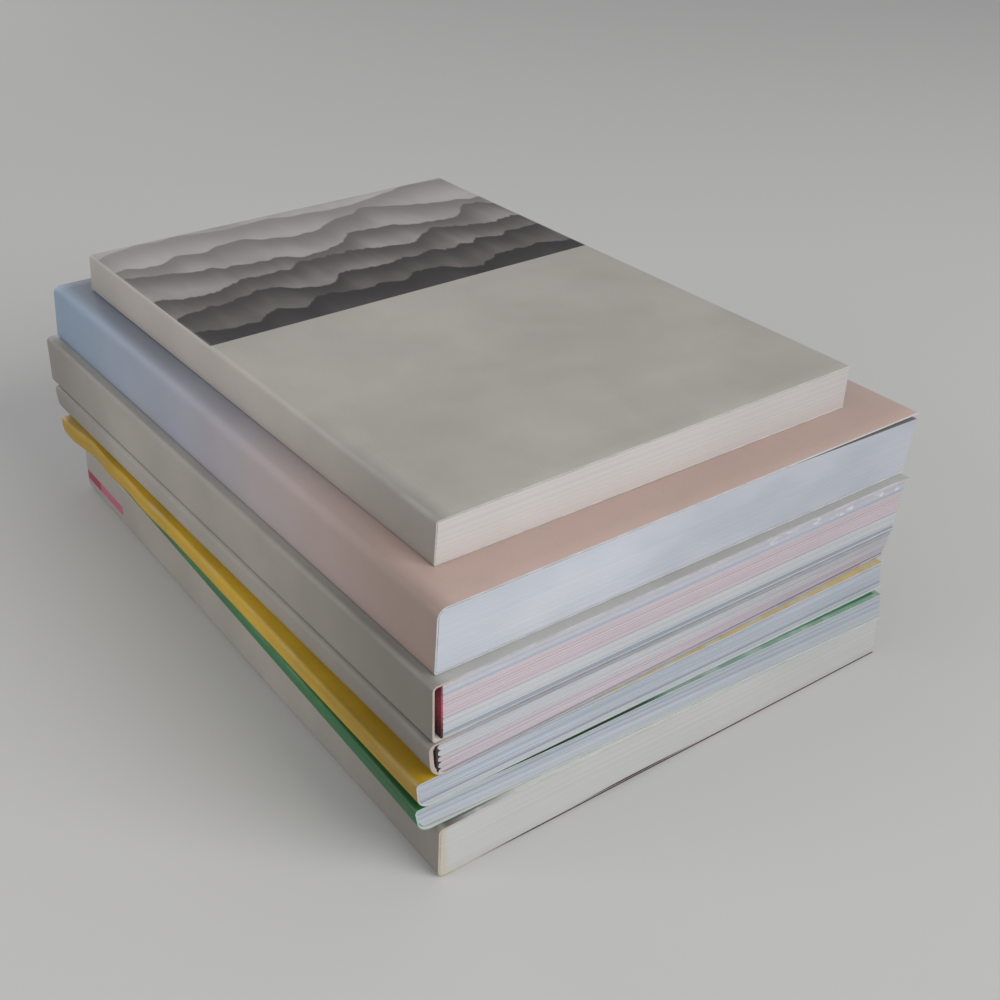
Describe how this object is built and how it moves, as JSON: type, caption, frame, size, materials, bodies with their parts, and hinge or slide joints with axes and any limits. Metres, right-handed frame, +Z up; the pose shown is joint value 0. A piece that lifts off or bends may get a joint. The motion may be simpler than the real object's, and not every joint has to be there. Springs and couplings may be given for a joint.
{
  "type": "stack of books",
  "caption": "Stack of paperback books of different sizes and colours, spines to one side, with the smallest on top and its front cover hinged.",
  "frame": {"origin": "middle of the stack's bounding box, on the face it rests on", "axes": "+X along the spines towards the foot of the books, +Y from the spines to the fore-edges, +Z up"},
  "size_m": [0.2406, 0.1744, 0.0896],
  "materials": {
    "ivory_card": "matte laminated card with a soft grey print band",
    "ivory_paper": "trimmed edges of uncoated book paper",
    "pastel_card": "satin card printed with a soft blue, lilac and rose gradient",
    "white_paper": "trimmed edges of cool white coated paper",
    "grey_card": "warm grey satin card",
    "tinted_paper": "trimmed edges of white, rose and blue sections",
    "red_lining": "dark red lining strip",
    "dark_lining": "dark lining strip with glue",
    "yellow_card": "glossy yellow card",
    "green_card": "glossy green card",
    "off_white_card": "matte off-white card"
  },
  "bodies": {
    "stack": {"top_book_spine_and_back_cover": "ivory_card", "top_book_pages": "ivory_paper", "pastel_book_cover": "pastel_card", "pastel_book_pages": "white_paper", "thick_grey_book_cover": "grey_card", "thick_grey_book_pages": "tinted_paper", "thick_grey_book_spine_lining": "red_lining", "thin_grey_book_cover": "grey_card", "thin_grey_book_pages": "tinted_paper", "thin_grey_book_spine_lining": "dark_lining", "yellow_book_cover": "yellow_card", "yellow_book_pages": "white_paper", "green_book_cover": "green_card", "green_book_pages": "white_paper", "bottom_book_cover": "off_white_card", "bottom_book_pages": "ivory_paper"},
    "top_cover": {"top_book_front_cover": "ivory_card"}
  },
  "joints": [
    {"name": "front_cover_hinge", "type": "hinge", "parent": "stack", "child": "top_cover", "pos_m": [0.09765, -0.06176, 0.08962], "axis": [1, 0, 0.0003], "range_deg": [0, 165]}
  ]
}
